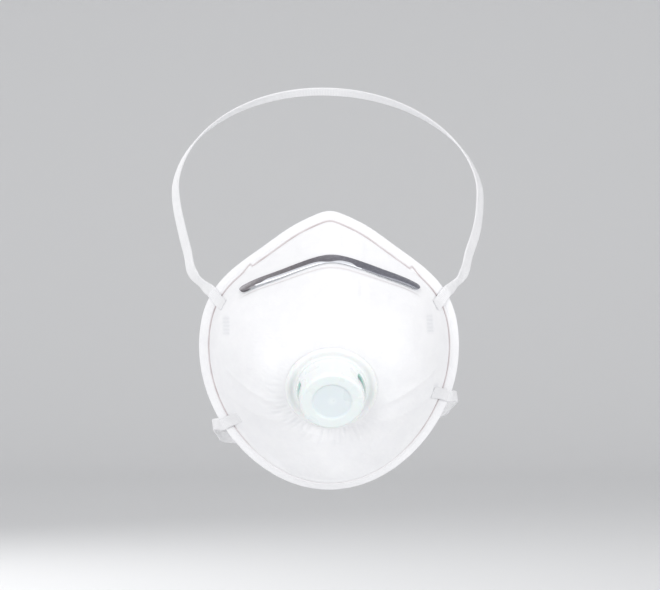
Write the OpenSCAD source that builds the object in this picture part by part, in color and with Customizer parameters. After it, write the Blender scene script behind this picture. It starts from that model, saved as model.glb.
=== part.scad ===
// Cup-shaped disposable dust mask with an exhalation valve, shown as it is worn.
// Millimetres. +Z is up, the mask faces -Y, and the wearer's face is towards +Y.
// The origin is the centre of the face seal, at its widest level between the cheeks.

/* [Cup outline] */
// Width of the mask across the cheeks, over the hem
mask_width = 124.6; // [104:0.2:150]
// Height of the nose peak above the widest level
nose_height = 63.9; // [53:0.1:77]
// Depth of the chin below the widest level
chin_depth = 69.1; // [57:0.1:83]
// How far the nose peak of the hem stands forward of the cheeks
nose_forward = 12; // [9:0.5:15]
// How far the chin of the hem stands forward of the cheeks
chin_forward = 2; // [0:0.5:4]
// How much the outline is drawn in between the cheek and the nose
cheek_draw = 0.087; // [0.05:0.001:0.11]
// Width of the flat welded hem round the cup
hem_width = 5; // [4:0.1:6.5]

/* [Cup plies] */
// Thickness of the outer cover
cover_t = 0.6; // [0.4:0.05:0.8]
// Thickness of the filter web
filter_t = 1; // [0.8:0.05:1.3]
// Thickness of the moulded support shell
shell_t = 0.9; // [0.7:0.05:1.2]
// Thickness of the inner lining
lining_t = 0.4; // [0.3:0.05:0.6]
// Air gap between two plies in the open wall
ply_gap = 0.15; // [0.1:0.01:0.2]
// Thickness of the plies in the welded hem, as a share of the open wall
hem_press = 0.4; // [0.3:0.05:0.6]

/* [Nose clip and foam] */
// Straight distance between the two ends of the nose clip
clip_span = 84; // [70:1:96]
// Width of the nose clip strip
clip_width = 5.2; // [4:0.1:6.5]
// Thickness of the nose clip strip
clip_t = 0.9; // [0.6:0.1:1.2]
// Thickness of the adhesive tape under the clip
tape_t = 0.2; // [0.15:0.05:0.3]
// Straight distance between the two ends of the nose foam
foam_span = 80; // [66:1:90]
// Width of the nose foam
foam_width = 12; // [9:0.5:14]
// Thickness of the nose foam
foam_t = 3.5; // [2.5:0.1:4.5]

/* [Exhalation valve] */
// Distance of the valve's foot in front of the face seal
valve_forward = 40; // [36:0.5:48]
// Distance of the valve's foot below the widest level
valve_drop = 19; // [15:0.5:22]
// Angle by which the valve looks down
valve_lean = 29; // [24:1:35]
// Diameter of the diaphragm
diaphragm_d = 24.2; // [20:0.1:29.1]
// Thickness of the diaphragm
diaphragm_t = 0.5; // [0.4:0.05:0.7]
// Lift of the diaphragm off its seat when the wearer breathes out
diaphragm_lift = 1.2; // [0.6:0.1:1.5]
// Wall of the barrel that passes through the plies
barrel_wall = 1.2; // [0.9:0.1:1.6]
// Wall of the valve cover, and of the collar that it snaps over
cap_wall = 1.1; // [0.9:0.1:1.4]
// Height of the valve cover above the cup
cap_height = 13; // [11:0.5:15.5]
// Width of the rim round the window in the front of the valve cover
window_rim = 5.5; // [4.5:0.1:7]
// Thickness of the valve's outer flange
valve_flange_t = 1.7; // [1.4:0.1:2.2]
// Width of the flange outside the valve cover
flange_rim = 5.1; // [4:0.1:6.2]
// Width of the retainer ring inside the cup
retainer_rim = 5.6; // [4.5:0.1:6.8]

/* [Head straps] */
// Width of the elastic straps
strap_width = 5.5; // [4.5:0.1:7]
// Thickness of the elastic straps
strap_t = 1; // [0.8:0.1:1.3]
// Height of the upper strap's welds above the widest level
upper_weld_z = 25.5; // [20:0.5:30]
// Slope of the upper strap from the welds up to the crown
upper_rise = 30; // [20:1:38]
// Width across the upper strap where it passes the temples
upper_loop_width = 156; // [146:1:176]
// Distance from the upper welds back to the crown
upper_loop_depth = 188; // [160:1:215]
// Depth of the lower strap's +X weld below the widest level
lower_weld_z = 24.5; // [20:0.5:29]
// How much lower the lower strap's weld lies on the -X side
lower_weld_drop = 13.4; // [0:0.2:16]
// Slope of the lower strap from the welds down to the nape
lower_fall = 7; // [0:1:14]
// Width across the lower strap where it passes the neck
lower_loop_width = 116; // [108:1:126]
// Distance from the lower welds back to the nape
lower_loop_depth = 150; // [130:1:176]

/* [Hidden] */
$fn = 96;

forward = [0, -1, 0];

// Stack of plies, as depths below the outer skin
filter_depth = cover_t + ply_gap;
shell_depth = filter_depth + filter_t + ply_gap;
lining_depth = shell_depth + shell_t + ply_gap;
stack_t = lining_depth + lining_t;

// Grid of the plies: steps round the cup and steps up the wall
round_steps = 56;
wall_steps = 8;
press_start = 0.85;

// The wall's angle round the cup runs ahead of the hem's, as the valve sits low
wall_lag = 9;

// Valve frame: its foot on the outer skin, its axis, and the upward direction across it
valve_foot = [0, -valve_forward, -valve_drop];
valve_axis = [0, -cos(valve_lean), -sin(valve_lean)];
valve_up = [0, -sin(valve_lean), cos(valve_lean)];
fit_gap = 0.05;

// Valve radii, from the diaphragm outwards
diaphragm_r = diaphragm_d / 2;
barrel_in_r = diaphragm_r + 0.1;
barrel_r = barrel_in_r + barrel_wall;
port_r = barrel_r + 0.4;
collar_in_r = diaphragm_r + 1.6;
collar_r = collar_in_r + cap_wall;
cap_r = collar_r + 0.5 + cap_wall;
flange_r = cap_r + flange_rim;
retainer_r = barrel_r + retainer_rim;
land_r = max(flange_r, retainer_r) + 0.5;
shoulder_r = cap_r - 1.4;
window_r = shoulder_r - window_rim;

// Valve radii, from the diaphragm inwards
ridge_r = diaphragm_r - 1.1;
ledge_w = 0.6;
hub_r = 2.6;
pin_r = 1;
pin_head_r = 1.8;
diaphragm_hole_r = pin_r + 0.3;
spokes = 6;
spoke_w = 1.2;
bevel = 0.8;

// Valve heights along its axis, above the outer skin
floor_h = valve_flange_t - 0.5;
ridge_top = floor_h + 1;
ledge_low = -0.6;
hub_top = ridge_top - 0.3;
diaphragm_low = ridge_top + 0.1;
diaphragm_high = diaphragm_low + diaphragm_t;
pin_head_low = diaphragm_high + diaphragm_lift + 0.3;
pin_head_t = 0.8;
collar_top = floor_h + 1.6;
cap_foot_h = floor_h + fit_gap;
window_h = cap_height - 0.7;
vent_low = collar_top + 0.6;
vent_high = window_h - cap_wall - 3.8;
vent_w = 18;
barrel_low = -stack_t - 3;
ring_t = 1.7;
ring_fit = 0.1;

// Nose clip on its tape, above the outer skin
tape_low = 0.15;
clip_low = tape_low + tape_t + fit_gap;

// Straps: clearance of soft solids, and where the hinge lines lie beside the hem
joint_gap = 0.3;
strap_lift = strap_t / 2 + joint_gap;
tail_out = strap_lift + 0.4;
strap_steps = 22;
upper_flare = 7;
lower_flare = 1;
hinge_out = 2.4;
hinge_back = 2.8;
hinge_climb = 1.5;
hinge_clear = 0.8;
tail_from = 1.6;
tail_lap = 1.6;
lower_right_z = -lower_weld_z;
lower_left_z = -lower_weld_z - lower_weld_drop;
upper_hinge = flat_hinge(upper_weld_z);
lower_right_hinge = folded_hinge(lower_right_z);
lower_left_hinge = folded_hinge(lower_left_z);

// ---------- Small vector helpers ----------
function unit(v) = v / norm(v);
function mix(a, b, t) = a + (b - a) * t;
function ease(t) = let (c = max(0, min(1, t))) c * c * (3 - 2 * c);
function bezier(p, t) =
    let (m = 1 - t)
    m * m * m * p[0] + 3 * m * m * t * p[1] + 3 * m * t * t * p[2] + t * t * t * p[3];

// ---------- Hem: the outline that lies on the face ----------
// Angles run round the cup from the +X cheek (0) over the nose (90) to the other
// cheek (180) and on round the chin (270).
function from_cheek(a) = asin(abs(sin(a)));
function nose_share(a) = pow(max(sin(a), 0), 2);
function chin_share(a) = pow(max(-sin(a), 0), 2);

// Outline as a share of the ellipse through cheeks, nose and chin
function outline_share(a) =
    let (b = from_cheek(a), draw = sin(180 * pow(max(b - 10, 0) / 80, 1.15)))
    sin(a) >= 0
    ? 1 - cheek_draw * draw * draw - 0.025 * nose_share(a) * (1 - exp(-pow((90 - b) / 7, 2)))
    : 1 - 0.016 * pow(sin(2 * b), 2);

function hem_edge(a) =
    let (k = outline_share(a), high = sin(a) >= 0 ? nose_height : chin_depth)
    [mask_width / 2 * k * cos(a),
     -nose_forward * nose_share(a) - chin_forward * chin_share(a),
     high * k * sin(a)];

// Direction in the plane of the face that points away from the cup
function outward(a) =
    let (d = hem_edge(a + 1) - hem_edge(a - 1))
    unit([d.z, 0, -d.x]);

// The hem leans back from the face plane, most of all under the chin
function hem_lean(a) = 15 + 35 * chin_share(a);
function hem_slope(a) = cos(hem_lean(a)) * outward(a) - sin(hem_lean(a)) * forward;
function hem_root(a) = hem_edge(a) - hem_width * hem_slope(a);

// ---------- Wall: from the valve's land out to the root of the hem ----------
// The wall's own angle lags the hem's, because the valve sits below the middle.
function hem_angle(a) = a - wall_lag * cos(a);
function across_valve(a) = cos(a) * [1, 0, 0] + sin(a) * valve_up;
function wall_lean(a) = 18 + 34 * pow(max(sin(a), 0), 1.5) + 22 * chin_share(a);

function wall_curve(a) =
    let (h = hem_angle(a),
         low = valve_foot + land_r * across_valve(a),
         high = hem_root(h),
         reach = norm(high - low),
         nose = nose_share(a),
         chin = chin_share(a),
         start = 0.35 - 0.10 * nose - 0.07 * chin,
         finish = 0.50 - 0.10 * nose - 0.17 * chin,
         away = unit([hem_edge(h).x, 0, hem_edge(h).z]),
         rise = cos(wall_lean(h)) * forward - sin(wall_lean(h)) * away)
    [low, low + start * reach * across_valve(a), high + finish * reach * rise, high];

// Point on the outer skin: u is 0 at the valve's land and 1 at the root of the hem
function skin(a, u) = bezier(wall_curve(a), u);
function skin_normal(a, u) =
    let (up = skin(a, min(u + 0.01, 1)) - skin(a, max(u - 0.01, 0)),
         around = skin(a + 0.5, u) - skin(a - 0.5, u))
    unit(cross(up, around));
function hem_normal(a) =
    let (around = hem_root(a + 0.5) - hem_root(a - 0.5))
    unit(cross(hem_slope(a), around));
// At the root the plies turn the corner, so their offset is mitred
function root_normal(a) =
    let (wall = skin_normal(a, 1), hem = hem_normal(hem_angle(a)))
    (wall + hem) / (1 + wall * hem);

function pressed(u) = mix(1, hem_press, max(0, (u - press_start) / (1 - press_start)));
function under_skin(a, u, depth) =
    skin(a, u) - depth * pressed(u) * (u < 1 ? skin_normal(a, u) : root_normal(a));

// One side of a ply, from the valve port over the wall to the edge of the hem
function ply_side(a, depth) =
    let (h = hem_angle(a))
    concat(
        [for (r = [port_r, land_r]) valve_foot + r * across_valve(a) - depth * valve_axis],
        [for (i = [1 : wall_steps]) under_skin(a, i / wall_steps, depth)],
        [hem_edge(h) - depth * hem_press * hem_normal(h)]);
function reversed(list) = [for (i = [len(list) - 1 : -1 : 0]) list[i]];

// ---------- Lofts ----------
// Faces that join rings of equal length. A closed loft runs round to its first ring,
// and an open one is capped at both ends. Each ring runs up one side and back down the
// other, and the diagonals match on the two sides, so that nested lofts stay apart.
function loft_faces(rings, size, closed) =
    let (last = closed ? rings - 1 : rings - 2)
    concat(
        [for (i = [0 : last], j = [0 : size - 1], half = [0, 1])
            let (p = i * size, q = ((i + 1) % rings) * size, k = (j + 1) % size)
            j < size / 2
            ? (half == 0 ? [p + j, p + k, q + j] : [p + k, q + k, q + j])
            : (half == 0 ? [p + j, p + k, q + k] : [p + j, q + k, q + j])],
        closed ? [] : [for (j = [1 : size - 2]) [0, j + 1, j]],
        closed ? [] : [for (j = [1 : size - 2], e = [(rings - 1) * size]) [e, e + j, e + j + 1]]);

module loft(rings, closed = false) {
    polyhedron(points = [for (ring = rings) each ring],
               faces = loft_faces(len(rings), len(rings[0]), closed));
}

module ply(depth, thickness) {
    loft([for (i = [0 : round_steps - 1])
              let (a = 360 * i / round_steps)
              concat(ply_side(a, depth), reversed(ply_side(a, depth + thickness)))],
         closed = true);
}

// ---------- Nose clip and foam: strips that follow the wall across the nose ----------
// The strip's height on the wall: lowest on the bridge, closer to the hem at its ends
function strip_u(a) = 0.735 + 0.235 * pow(cos(a), 2) + 0.015 * cos(a);
// Wall angle at which the strip's centre line reaches the sideways position x
function strip_angle(x, from = 10, to = 170, tries = 24) =
    let (mid = (from + to) / 2)
    tries == 0 ? mid
    : skin(mid, strip_u(mid)).x > x
      ? strip_angle(x, mid, to, tries - 1)
      : strip_angle(x, from, mid, tries - 1);

// Ring of a strip: from the near depth to the far depth, as wide as the strip is there
function strip_ring(a, near, far, half_width, across) =
    let (u = strip_u(a), per_u = norm(skin(a, u + 0.01) - skin(a, u - 0.01)) / 0.02)
    concat(
        [for (i = [0 : across])
            under_skin(a, u + half_width * (2 * i / across - 1) / per_u, near)],
        [for (i = [across : -1 : 0])
            under_skin(a, u + half_width * (2 * i / across - 1) / per_u, far)]);

// A strip's ends are round: the width falls to a small flat over its last half width
module wall_strip(span, width, near, far, steps, across) {
    first = strip_angle(span / 2);
    last = strip_angle(-span / 2);
    loft([for (i = [0 : steps])
              let (t = 0.5 - 0.5 * cos(180 * i / steps),
                   a = mix(first, last, t),
                   from_end = span * min(t, 1 - t),
                   inset = max(0, width / 2 - from_end),
                   half_width = max(0.2 * width, sqrt(max(0, width * width / 4 - inset * inset))))
              strip_ring(a, near, far, half_width, across)]);
}

// ---------- Valve ----------
// Draws its children with Z along the valve axis and the cup's outer skin at zero
module on_valve() translate(valve_foot) rotate([90 + valve_lean, 0, 0]) children();

module lathe(outline) rotate_extrude() polygon(outline);

module seat_body() {
    lathe([[barrel_in_r, barrel_low], [barrel_r, barrel_low], [barrel_r, fit_gap],
           [flange_r, fit_gap], [flange_r, valve_flange_t - bevel],
           [flange_r - bevel, valve_flange_t], [flange_r - 2 * bevel, valve_flange_t],
           [cap_r + 0.5, floor_h], [collar_r, floor_h], [collar_r, collar_top],
           [collar_in_r, collar_top], [collar_in_r, floor_h],
           [ridge_r + 0.4, floor_h], [ridge_r + 0.2, ridge_top], [ridge_r - 0.2, ridge_top],
           [ridge_r - ledge_w, floor_h], [ridge_r - ledge_w, ledge_low],
           [barrel_in_r, ledge_low]]);
}

module seat_spokes() {
    for (i = [0 : spokes - 1])
        rotate(360 * i / spokes)
            translate([0, -spoke_w / 2, ledge_low])
                cube([ridge_r, spoke_w, floor_h - ledge_low]);
}

module seat_pin() {
    translate([0, 0, ledge_low]) cylinder(h = hub_top - ledge_low, r = hub_r);
    cylinder(h = pin_head_low, r = pin_r);
    translate([0, 0, pin_head_low]) cylinder(h = pin_head_t, r = pin_head_r);
}

module cap_body() {
    lathe([[0, window_h - cap_wall], [0, window_h], [window_r - 0.2, window_h],
           [window_r, cap_height], [shoulder_r - 1.2, cap_height],
           [shoulder_r, cap_height - 1.4], [cap_r, cap_foot_h], [cap_r - cap_wall, cap_foot_h],
           [shoulder_r - cap_wall, cap_height - 1.8],
           [shoulder_r - cap_wall - 0.9, cap_height - cap_wall],
           [window_r + 1, cap_height - cap_wall], [window_r + 0.6, window_h - cap_wall]]);
}

// ---------- Straps ----------
// Angle at which the edge of the hem reaches a height, on the +X side
function edge_angle(z, from = -70, to = 70, tries = 24) =
    let (mid = (from + to) / 2)
    tries == 0 ? mid
    : hem_edge(mid).z < z
      ? edge_angle(z, mid, to, tries - 1)
      : edge_angle(z, from, mid, tries - 1);

// The upper strap leaves the cup flat, past the edge of the hem. Its hinge line runs
// across the band there.
function flat_hinge(z) =
    let (edge = hem_edge(edge_angle(z)))
    [edge.x + hinge_out, edge.y + hinge_back, z + hinge_climb];

// The lower strap is folded round the edge of the hem, so that its tail stands upright
// behind it, clear of the hem at the band's upper corner. The loop starts beside the
// tail, and turns about a line through both.
function tail_point(z, back) =
    let (edge = hem_edge(edge_angle(z + strap_width / 2)))
    [edge.x + tail_out, edge.y + back, z];
function folded_hinge(z) = tail_point(z, tail_from + tail_lap) + [strap_t + joint_gap, 0, 0];

// Width of a loop at a distance behind its hinge line: out over the cheek, along the
// head, and round the back of it
function loop_side(half_span, half_width, depth, flare, t) =
    let (bend = depth * 0.47)
    t < 0.5
    ? bezier([[half_span, 0], [half_span + flare, bend * 0.16],
              [half_width - flare / 3, bend * 0.55], [half_width, bend]], 2 * t)
    : [half_width * sin(180 * t), bend - (depth - bend) * cos(180 * t)];

// Centre of a loop: t is 0 at the +X weld, 1 at the back and 2 at the -X weld
function loop_point(half_span, half_width, depth, flare, rise, t) =
    let (side = t > 1 ? -1 : 1,
         p = loop_side(half_span, half_width, depth, flare, t > 1 ? 2 - t : t))
    [side * p.x, p.y, p.y * tan(rise)];

function strap_ring(centre, wide, face, half_t) =
    [for (k = [[1, 1], [-1, 1], [-1, -1], [1, -1]])
        centre + k[0] * strap_width / 2 * wide + k[1] * half_t * face];

// A flat loop starts thin and square to its hinge line, and turns upright on its way
// along the head. Any other loop is upright all the way.
module strap_loop(half_span, width, depth, flare, rise, flat) {
    plane = [0, -sin(rise), cos(rise)];
    loft([for (i = [0 : 2 * strap_steps])
              let (t = i / strap_steps,
                   from_weld = t > 1 ? 2 - t : t,
                   c = loop_point(half_span, width / 2, depth, flare, rise, t),
                   before = loop_point(half_span, width / 2, depth, flare, rise, max(t - 0.01, 0)),
                   after = loop_point(half_span, width / 2, depth, flare, rise, min(t + 0.01, 2)),
                   along = unit(after - before),
                   outer = unit(cross(along, plane)),
                   turn = flat ? 90 * ease(from_weld / 0.3 - 1.2) : 90,
                   face = cos(turn) * plane + sin(turn) * outer,
                   free = flat ? ease(from_weld * 12) : 1,
                   wide = unit(mix([1, 0, 0], cross(along, face), free)))
              strap_ring(c, wide, face, mix(strap_t * 0.15, strap_t / 2, free))]);
}

// Places a loop on the line through its two hinge points
module on_hinges(right, left) {
    middle = [(right.x - left.x) / 2, right.y, (right.z + left.z) / 2];
    translate(middle) rotate([0, -atan2(right.z - left.z, right.x + left.x), 0]) children();
}
function span(right, left) = norm([right.x + left.x, right.z - left.z]);

// Stations of a welded end, each a centre and the way its face looks: two on the wall,
// one on the hem
function weld_stations(h, turn, from_u) =
    let (a = h + wall_lag * cos(h) + turn, m = mix(hem_angle(a), h, 0.6))
    concat(
        [for (u = [from_u, 0.93]) [skin(a, u) + strap_lift * skin_normal(a, u), skin_normal(a, u)]],
        [[mix(hem_root(m), hem_edge(m), 0.5) + strap_lift * hem_normal(m), hem_normal(m)]]);

module strap_band(stations, last_wide) {
    n = len(stations);
    loft([for (i = [0 : n - 1])
              let (along = unit(stations[min(i + 1, n - 1)][0] - stations[max(i - 1, 0)][0]),
                   wide = i == n - 1 ? last_wide : unit(cross(along, stations[i][1])),
                   face = unit(cross(wide, along)))
              strap_ring(stations[i][0], wide, face, strap_t / 2)]);
}

// End of the upper strap: straight across the hem to its hinge line
module flat_end(edge_z, hinge) {
    h = edge_angle(edge_z);
    over_edge = hem_edge(h) + strap_lift * hem_normal(h) + 0.4 * outward(h);
    finish = hinge + hinge_clear * unit(over_edge - hinge);
    strap_band(concat(weld_stations(h, -3, 0.85),
                      [[over_edge, unit(hem_normal(h) + 0.5 * outward(h))], [finish, forward]]),
               [1, 0, 0]);
}

// End of the lower strap: over the hem, round its edge and back as an upright tail
module folded_end(edge_z) {
    h = edge_angle(edge_z);
    corner = unit(hem_normal(h) + outward(h));
    strap_band(concat(weld_stations(h, 0, 0.8),
                      [[hem_edge(h) + 1.1 * strap_lift * corner, corner]],
                      [for (back = [tail_from, tail_from + 2 * tail_lap])
                          [tail_point(edge_z, back), [1, 0, 0]]]),
               [0, 0, 1]);
}

// ---------- Sub-parts ----------
module outer_cover() color("white") ply(0, cover_t);
module filter_web() color("ghostwhite") ply(filter_depth, filter_t);
module support_shell() color("whitesmoke") ply(shell_depth, shell_t);
module inner_lining() color("snow") ply(lining_depth, lining_t);

module nose_clip()
    color("dimgray") wall_strip(clip_span, clip_width, -clip_low - clip_t, -clip_low, 32, 2);
module nose_clip_tape()
    color("gainsboro") wall_strip(clip_span - 2, clip_width - 1, -tape_low - tape_t,
                                  -tape_low, 32, 2);
module nose_foam()
    color("lightgray") wall_strip(foam_span, foam_width, stack_t + joint_gap,
                                  stack_t + joint_gap + foam_t, 28, 3);

module valve_seat() color("whitesmoke") on_valve() {
    seat_body();
    seat_spokes();
    seat_pin();
}
module valve_diaphragm() color("aquamarine") on_valve()
    difference() {
        translate([0, 0, diaphragm_low]) cylinder(h = diaphragm_t, r = diaphragm_r);
        cylinder(h = diaphragm_high + 1, r = diaphragm_hole_r);
    }
module valve_cover() color("azure") on_valve()
    difference() {
        cap_body();
        for (side = [0, 180])
            rotate(side)
                translate([cap_r - 4, -vent_w / 2, vent_low])
                    cube([8, vent_w, vent_high - vent_low]);
    }
module valve_retainer_ring() color("whitesmoke") on_valve()
    lathe([[barrel_r + ring_fit, -stack_t - fit_gap], [retainer_r, -stack_t - fit_gap],
           [retainer_r, -stack_t - ring_t + 0.6], [retainer_r - 0.6, -stack_t - ring_t],
           [barrel_r + ring_fit, -stack_t - ring_t]]);

module upper_strap() color("white")
    on_hinges(upper_hinge, upper_hinge)
        strap_loop(span(upper_hinge, upper_hinge) / 2, upper_loop_width, upper_loop_depth,
                   upper_flare, upper_rise, true);
module upper_strap_right_end() color("white") flat_end(upper_weld_z, upper_hinge);
module upper_strap_left_end() color("white")
    mirror([1, 0, 0]) flat_end(upper_weld_z, upper_hinge);
module lower_strap() color("white")
    on_hinges(lower_right_hinge, lower_left_hinge)
        strap_loop(span(lower_right_hinge, lower_left_hinge) / 2, lower_loop_width,
                   lower_loop_depth, lower_flare, -lower_fall, false);
module lower_strap_right_end() color("white") folded_end(lower_right_z);
module lower_strap_left_end() color("white") mirror([1, 0, 0]) folded_end(lower_left_z);

outer_cover();
filter_web();
support_shell();
inner_lining();
nose_clip();
nose_clip_tape();
nose_foam();
valve_seat();
valve_diaphragm();
valve_cover();
valve_retainer_ring();
upper_strap();
upper_strap_left_end();
upper_strap_right_end();
lower_strap();
lower_strap_left_end();
lower_strap_right_end();
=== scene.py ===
import math

import bmesh
import bpy
import numpy as np
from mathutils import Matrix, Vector


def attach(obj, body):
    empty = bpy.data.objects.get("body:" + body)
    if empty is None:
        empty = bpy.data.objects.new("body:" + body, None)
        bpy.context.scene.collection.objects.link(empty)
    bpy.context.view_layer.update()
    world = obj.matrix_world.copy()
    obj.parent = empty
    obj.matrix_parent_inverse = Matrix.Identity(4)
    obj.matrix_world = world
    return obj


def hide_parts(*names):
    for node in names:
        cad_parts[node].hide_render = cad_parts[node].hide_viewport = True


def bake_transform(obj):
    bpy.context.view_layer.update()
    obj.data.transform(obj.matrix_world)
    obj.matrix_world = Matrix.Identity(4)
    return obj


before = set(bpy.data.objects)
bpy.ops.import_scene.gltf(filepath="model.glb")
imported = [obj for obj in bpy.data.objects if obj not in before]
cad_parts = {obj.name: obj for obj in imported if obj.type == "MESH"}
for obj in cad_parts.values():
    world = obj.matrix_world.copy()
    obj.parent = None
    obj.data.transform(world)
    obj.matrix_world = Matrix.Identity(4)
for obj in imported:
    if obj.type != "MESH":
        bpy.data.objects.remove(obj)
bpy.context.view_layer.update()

MM = 0.001

# ---------- Camera ----------
LOOK_AT = (0.0004, 0.0, 0.024)
DISTANCE = 1.3
YAW = math.radians(1.5)
VIEW_WIDTH = 0.3161

cam_data = bpy.data.cameras.new("camera")
cam_data.angle = 2 * math.atan(VIEW_WIDTH / 2 / DISTANCE)
cam_data.clip_start = 0.05
camera = bpy.data.objects.new("camera", cam_data)
bpy.context.scene.collection.objects.link(camera)
camera.location = (LOOK_AT[0] - DISTANCE * math.sin(YAW),
                   LOOK_AT[1] - DISTANCE * math.cos(YAW), LOOK_AT[2])
camera.rotation_euler = (math.pi / 2, 0, -YAW)
bpy.context.scene.camera = camera

# ---------- Sizes of the mask in millimetres, as in the CAD model ----------
MASK_WIDTH, NOSE_HEIGHT, CHIN_DEPTH = 124.6, 63.9, 69.1
NOSE_FORWARD, CHIN_FORWARD, CHEEK_DRAW, HEM_WIDTH = 12.0, 2.0, 0.087, 5.0
COVER_T, FILTER_T, SHELL_T, LINING_T = 0.6, 1.0, 0.9, 0.4
PLY_GAP, HEM_PRESS, PRESS_START = 0.15, 0.4, 0.85
FILTER_DEPTH = COVER_T + PLY_GAP
SHELL_DEPTH = FILTER_DEPTH + FILTER_T + PLY_GAP
LINING_DEPTH = SHELL_DEPTH + SHELL_T + PLY_GAP
STACK_T = LINING_DEPTH + LINING_T
CLIP_SPAN, CLIP_WIDTH, CLIP_T = 84.0, 5.2, 0.9
FOAM_SPAN, FOAM_WIDTH, FOAM_T = 80.0, 12.0, 3.5
LEAN = 29.0
PORT_R, LAND_R = 13.8, 22.0
WALL_LAG = 9.0
STRAP_WIDTH, STRAP_T = 5.5, 1.0


def sind(a):
    return np.sin(np.radians(a))


def cosd(a):
    return np.cos(np.radians(a))


VALVE_FOOT = np.array([0.0, -40.0, -19.0])
VALVE_AXIS = np.array([0.0, -cosd(LEAN), -sind(LEAN)])
VALVE_UP = np.array([0.0, -sind(LEAN), cosd(LEAN)])
RIGHT = np.array([1.0, 0.0, 0.0])
FORWARD = np.array([0.0, -1.0, 0.0])


def vec(x, y, z):
    return np.stack(np.broadcast_arrays(x, y, z), -1).astype(float)


def unit(v):
    return v / np.linalg.norm(v, axis=-1, keepdims=True)


def smooth(t, low=0.0, high=1.0):
    t = np.clip((t - low) / (high - low), 0, 1)
    return t * t * (3 - 2 * t)


def dot(p, q):
    return np.sum(p * q, -1)


def bell(distance, width):
    return np.exp(-(distance / width) ** 2)


# ---------- Surface of the cup ----------
# a is the angle round the cup in degrees, from the +X cheek (0) over the nose (90).
def nose_share(a):
    return np.maximum(sind(a), 0) ** 2


def chin_share(a):
    return np.maximum(-sind(a), 0) ** 2


def outline_share(a):
    b = np.degrees(np.arcsin(np.clip(np.abs(sind(a)), 0, 1)))
    draw = sind(180 * (np.maximum(b - 10, 0) / 80) ** 1.15)
    peak = 0.025 * nose_share(a) * (1 - np.exp(-((90 - b) / 7) ** 2))
    return np.where(sind(a) >= 0, 1 - CHEEK_DRAW * draw ** 2 - peak, 1 - 0.016 * sind(2 * b) ** 2)


def hem_edge(a):
    k = outline_share(a)
    high = np.where(sind(a) >= 0, NOSE_HEIGHT, CHIN_DEPTH)
    return vec(MASK_WIDTH / 2 * k * cosd(a),
               -NOSE_FORWARD * nose_share(a) - CHIN_FORWARD * chin_share(a),
               high * k * sind(a))


def outward(a):
    d = hem_edge(a + 1) - hem_edge(a - 1)
    return unit(vec(d[..., 2], 0, -d[..., 0]))


def hem_slope(a):
    lean = (15 + 35 * chin_share(a))[..., None]
    return cosd(lean) * outward(a) - sind(lean) * FORWARD


def hem_root(a):
    return hem_edge(a) - HEM_WIDTH * hem_slope(a)


def hem_angle(a):
    return a - WALL_LAG * cosd(a)


def across_valve(a):
    return cosd(a)[..., None] * RIGHT + sind(a)[..., None] * VALVE_UP


def wall_point(a, u):
    h = hem_angle(a)
    low = VALVE_FOOT + LAND_R * across_valve(a)
    high = hem_root(h)
    reach = np.linalg.norm(high - low, axis=-1)[..., None]
    nose, chin = nose_share(a)[..., None], chin_share(a)[..., None]
    edge = hem_edge(h)
    away = unit(vec(edge[..., 0], 0, edge[..., 2]))
    lean = (18 + 34 * np.maximum(sind(h), 0) ** 1.5 + 22 * chin_share(h))[..., None]
    rise = cosd(lean) * FORWARD - sind(lean) * away
    p1 = low + (0.35 - 0.10 * nose - 0.07 * chin) * reach * across_valve(a)
    p2 = high + (0.50 - 0.10 * nose - 0.17 * chin) * reach * rise
    u = u[..., None]
    m = 1 - u
    return m ** 3 * low + 3 * m * m * u * p1 + 3 * m * u * u * p2 + u ** 3 * high


# The nose clip holds the ridge of the nose in a soft arch: near it, the wall is averaged over
# these turns
ARCH_TURNS = np.arange(-18, 19, 3.0)
ARCH_SHARES = bell(ARCH_TURNS, 11.0) / np.sum(bell(ARCH_TURNS, 11.0))


def skin(a, u):
    """Outer skin of the wall. u runs from the valve's flat land (0) to the root of the hem (1)."""
    a, u = np.broadcast_arrays(np.asarray(a, float), np.asarray(u, float))
    p = wall_point(a, u)
    arch = smooth(30 - np.abs(a % 360 - 90), 0, 14) * bell(u - 0.70, 0.20)
    arch = arch * (1 - smooth(u, 0.86, 0.97))
    near = arch > 0.002
    if near.any():
        mean = sum(share * wall_point(a[near] + turn, u[near])
                   for turn, share in zip(ARCH_TURNS, ARCH_SHARES))
        p[near] += arch[near][:, None] * (mean - p[near])
    return p


def skin_normal(a, u):
    a, u = np.broadcast_arrays(np.asarray(a, float), np.asarray(u, float))
    up = skin(a, np.minimum(u + 0.01, 1)) - skin(a, np.maximum(u - 0.01, 0))
    around = skin(a + 0.5, u) - skin(a - 0.5, u)
    return unit(np.cross(up, around))


def hem_normal(h):
    return unit(np.cross(hem_slope(h), hem_root(h + 0.5) - hem_root(h - 0.5)))


def pressed(u):
    return 1 + (HEM_PRESS - 1) * np.maximum(0, (u - PRESS_START) / (1 - PRESS_START))


def over_skin(a, u, height):
    """Point at a height over the outer skin. A height below it is pressed thin near the hem."""
    scale = np.broadcast_to(height * pressed(u), np.broadcast(a, u, height).shape)
    return skin(a, u) + scale[..., None] * skin_normal(a, u)


def solve_rising(f, target, low, high):
    """Parameter between low and high at which the monotonic f reaches the target."""
    sign = 1 if f(high) > f(low) else -1
    for _ in range(40):
        mid = (low + high) / 2
        if sign * (f(mid) - target) > 0:
            high = mid
        else:
            low = mid
    return (low + high) / 2


# Length of the wall over the nose, in millimetres per unit of u
NOSE_WALL = 55


def strip_u(a):
    """Middle of the nose clip, and of the tape and the foam."""
    return 0.735 + 0.235 * cosd(a) ** 2 + 0.015 * cosd(a)


def strip_angle(x):
    return solve_rising(lambda a: float(skin(a, strip_u(a))[0]), x, 10.0, 170.0)


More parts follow.
